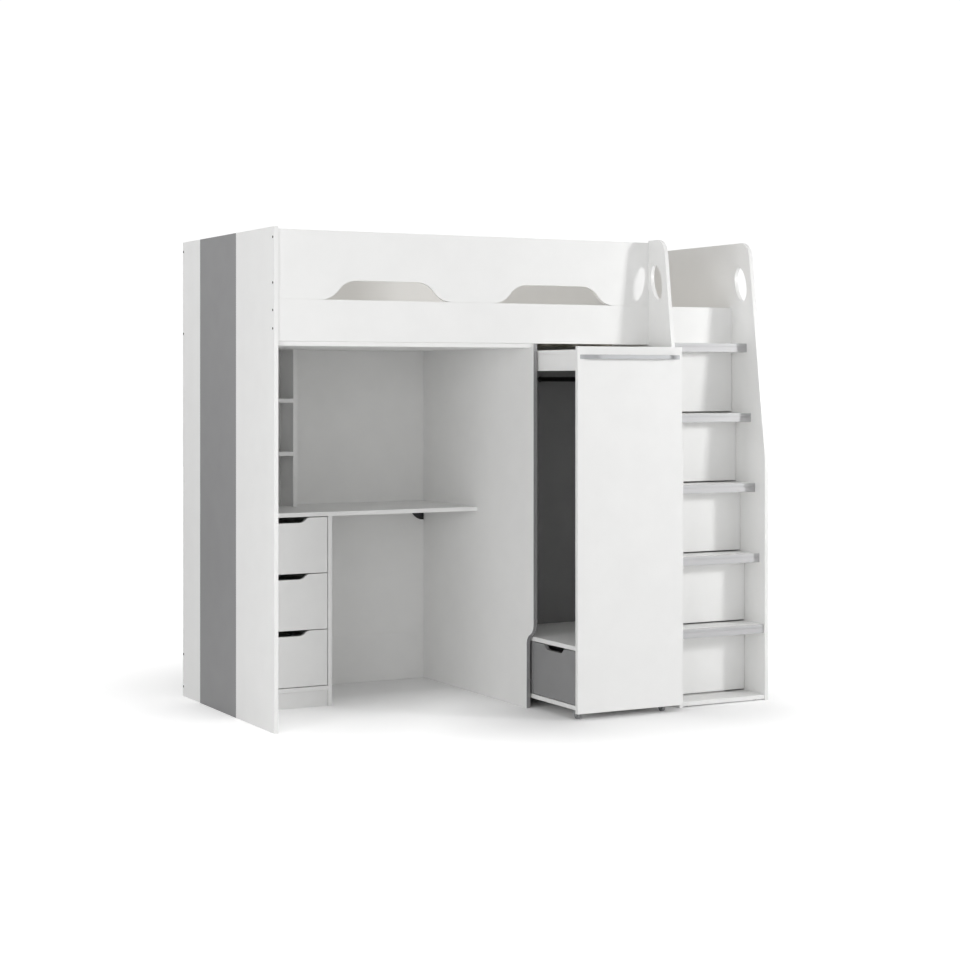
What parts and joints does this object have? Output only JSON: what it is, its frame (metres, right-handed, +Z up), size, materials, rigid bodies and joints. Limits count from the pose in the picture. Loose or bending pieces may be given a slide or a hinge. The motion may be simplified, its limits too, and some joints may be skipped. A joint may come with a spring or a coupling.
{
  "type": "high sleeper bed",
  "caption": "High sleeper bed with a desk bay, drawer pedestal and shelves, a pull-out wardrobe on castors and a block stair at the right end.",
  "frame": {"origin": "centre of the footprint at floor level, with the wardrobe part of the way out and every drawer shut", "axes": "+X along the bed from the left end to the stair, +Y from the front to the back, +Z up"},
  "size_m": [1.9584, 1.247, 1.768],
  "materials": {
    "white_board": "white melamine-faced board, satin",
    "grey_board": "grey melamine-faced board, satin",
    "drawer_board": "white foil-wrapped board",
    "pine": "planed pine, unfinished",
    "satin_aluminium": "satin anodised",
    "satin_chrome": "satin chrome plated",
    "zinc_steel": "zinc plated",
    "runner_steel": "zinc plated",
    "dark_steel": "blackened",
    "grey_plastic": "moulded",
    "black_plastic": "moulded",
    "white_plastic": "extruded, slick"
  },
  "bodies": {
    "bed_frame": {"left_end_front_board": "white_board", "left_end_stripe_board": "grey_board", "left_end_back_board": "white_board", "right_end_panel": "white_board", "stair_inner_side": "white_board", "front_guard": "white_board", "front_rail": "white_board", "back_guard": "white_board", "back_rail": "white_board", "ceiling_board": "white_board", "desk_partition": "white_board", "desk_top": "white_board", "upper_back_panel": "white_board", "mid_back_panel": "white_board", "low_back_rail": "white_board", "wardrobe_bay_back_panel": "white_board", "stair_back_panel": "white_board", "shelf_upright": "white_board", "shelf_boards": "white_board", "cable_cover": "black_plastic", "pedestal_sides": "white_board", "pedestal_bottom": "white_board", "pedestal_plinth": "white_board", "pedestal_runners": "runner_steel", "stair_treads": "white_board", "stair_base_board": "white_board", "stair_risers": "white_board", "tread_nosings": "satin_aluminium", "slat_battens": "pine", "mattress_slats": "pine", "wardrobe_guides": "white_plastic", "panel_screws": "dark_steel", "floor_glides": "black_plastic"},
    "desk_drawer_1": {"desk_drawer_1_front": "white_board", "desk_drawer_1_box": "drawer_board", "desk_drawer_1_runners": "runner_steel"},
    "desk_drawer_2": {"desk_drawer_2_front": "white_board", "desk_drawer_2_box": "drawer_board", "desk_drawer_2_runners": "runner_steel"},
    "desk_drawer_3": {"desk_drawer_3_front": "white_board", "desk_drawer_3_box": "drawer_board", "desk_drawer_3_runners": "runner_steel"},
    "wardrobe": {"wardrobe_door": "white_board", "wardrobe_handle": "satin_chrome", "wardrobe_side_panel": "white_board", "wardrobe_back_panel": "grey_board", "wardrobe_top": "white_board", "wardrobe_top_rail": "white_board", "wardrobe_deck": "white_board", "wardrobe_base": "white_board", "wardrobe_divider": "grey_board", "hanging_rail": "dark_steel", "rail_sockets": "black_plastic", "wardrobe_runners": "runner_steel", "castor_forks": "zinc_steel"},
    "wardrobe_drawer": {"wardrobe_drawer_front": "grey_board", "wardrobe_drawer_box": "drawer_board", "wardrobe_drawer_runners": "runner_steel"},
    "front_wheels": {"front_wheels": "grey_plastic"},
    "rear_wheels": {"rear_wheels": "grey_plastic"}
  },
  "joints": [
    {"name": "desk_drawer_1_slide", "type": "slide", "parent": "bed_frame", "child": "desk_drawer_1", "axis": [0, -1, 0], "range_m": [0, 0.3]},
    {"name": "desk_drawer_2_slide", "type": "slide", "parent": "bed_frame", "child": "desk_drawer_2", "axis": [0, -1, 0], "range_m": [0, 0.3]},
    {"name": "desk_drawer_3_slide", "type": "slide", "parent": "bed_frame", "child": "desk_drawer_3", "axis": [0, -1, 0], "range_m": [0, 0.3]},
    {"name": "wardrobe_slide", "type": "slide", "parent": "bed_frame", "child": "wardrobe", "axis": [0, -1, 0], "range_m": [-0.28, 0.2]},
    {"name": "wardrobe_drawer_slide", "type": "slide", "parent": "wardrobe", "child": "wardrobe_drawer", "axis": [-1, 0, 0], "range_m": [0, 0.28]},
    {"name": "front_wheels_spin", "type": "hinge", "parent": "wardrobe", "child": "front_wheels", "pos_m": [0.302, -0.5535, 0.015], "axis": [1, 0, 0], "range_deg": [-1100, 800]},
    {"name": "rear_wheels_spin", "type": "hinge", "parent": "wardrobe", "child": "rear_wheels", "pos_m": [0.302, 0.0265, 0.015], "axis": [1, 0, 0], "range_deg": [-1100, 800]}
  ],
  "couplings": [
    {"joint": "front_wheels_spin", "follows": "wardrobe_slide", "rad_per_m": 66.667},
    {"joint": "rear_wheels_spin", "follows": "wardrobe_slide", "rad_per_m": 66.667}
  ]
}
